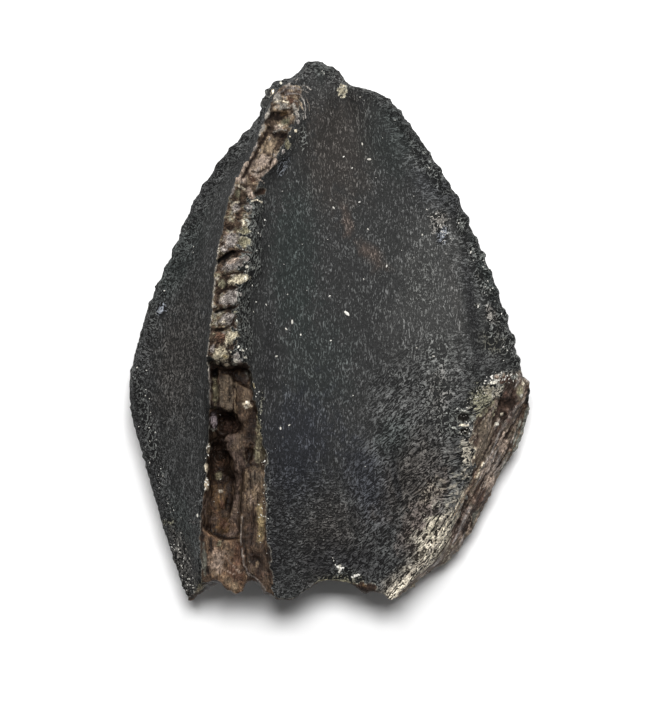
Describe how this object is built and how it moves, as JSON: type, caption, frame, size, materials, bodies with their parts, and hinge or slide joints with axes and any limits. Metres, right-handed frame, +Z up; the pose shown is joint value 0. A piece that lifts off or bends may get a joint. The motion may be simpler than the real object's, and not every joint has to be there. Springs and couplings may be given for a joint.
{
  "type": "fossil dinosaur tooth",
  "caption": "Broken fossil tooth crown of a horned dinosaur: leaf-shaped black enamel face with a tall worn keel, fine denticles along both margins and a jagged base; lies on its back.",
  "frame": {"origin": "middle of the footprint, on the surface that the tooth lies on", "axes": "+Z up out of the enamelled face; +Y from the broken base to the tip; the keel stands on the -X side of the middle"},
  "size_m": [0.0283, 0.0381, 0.0127],
  "materials": {
    "fossil_tooth": "satin black fossil enamel; brown dentine and tan to cream mineral crust where it is worn or broken"
  },
  "bodies": {
    "root": {"tooth": "fossil_tooth"}
  },
  "joints": []
}
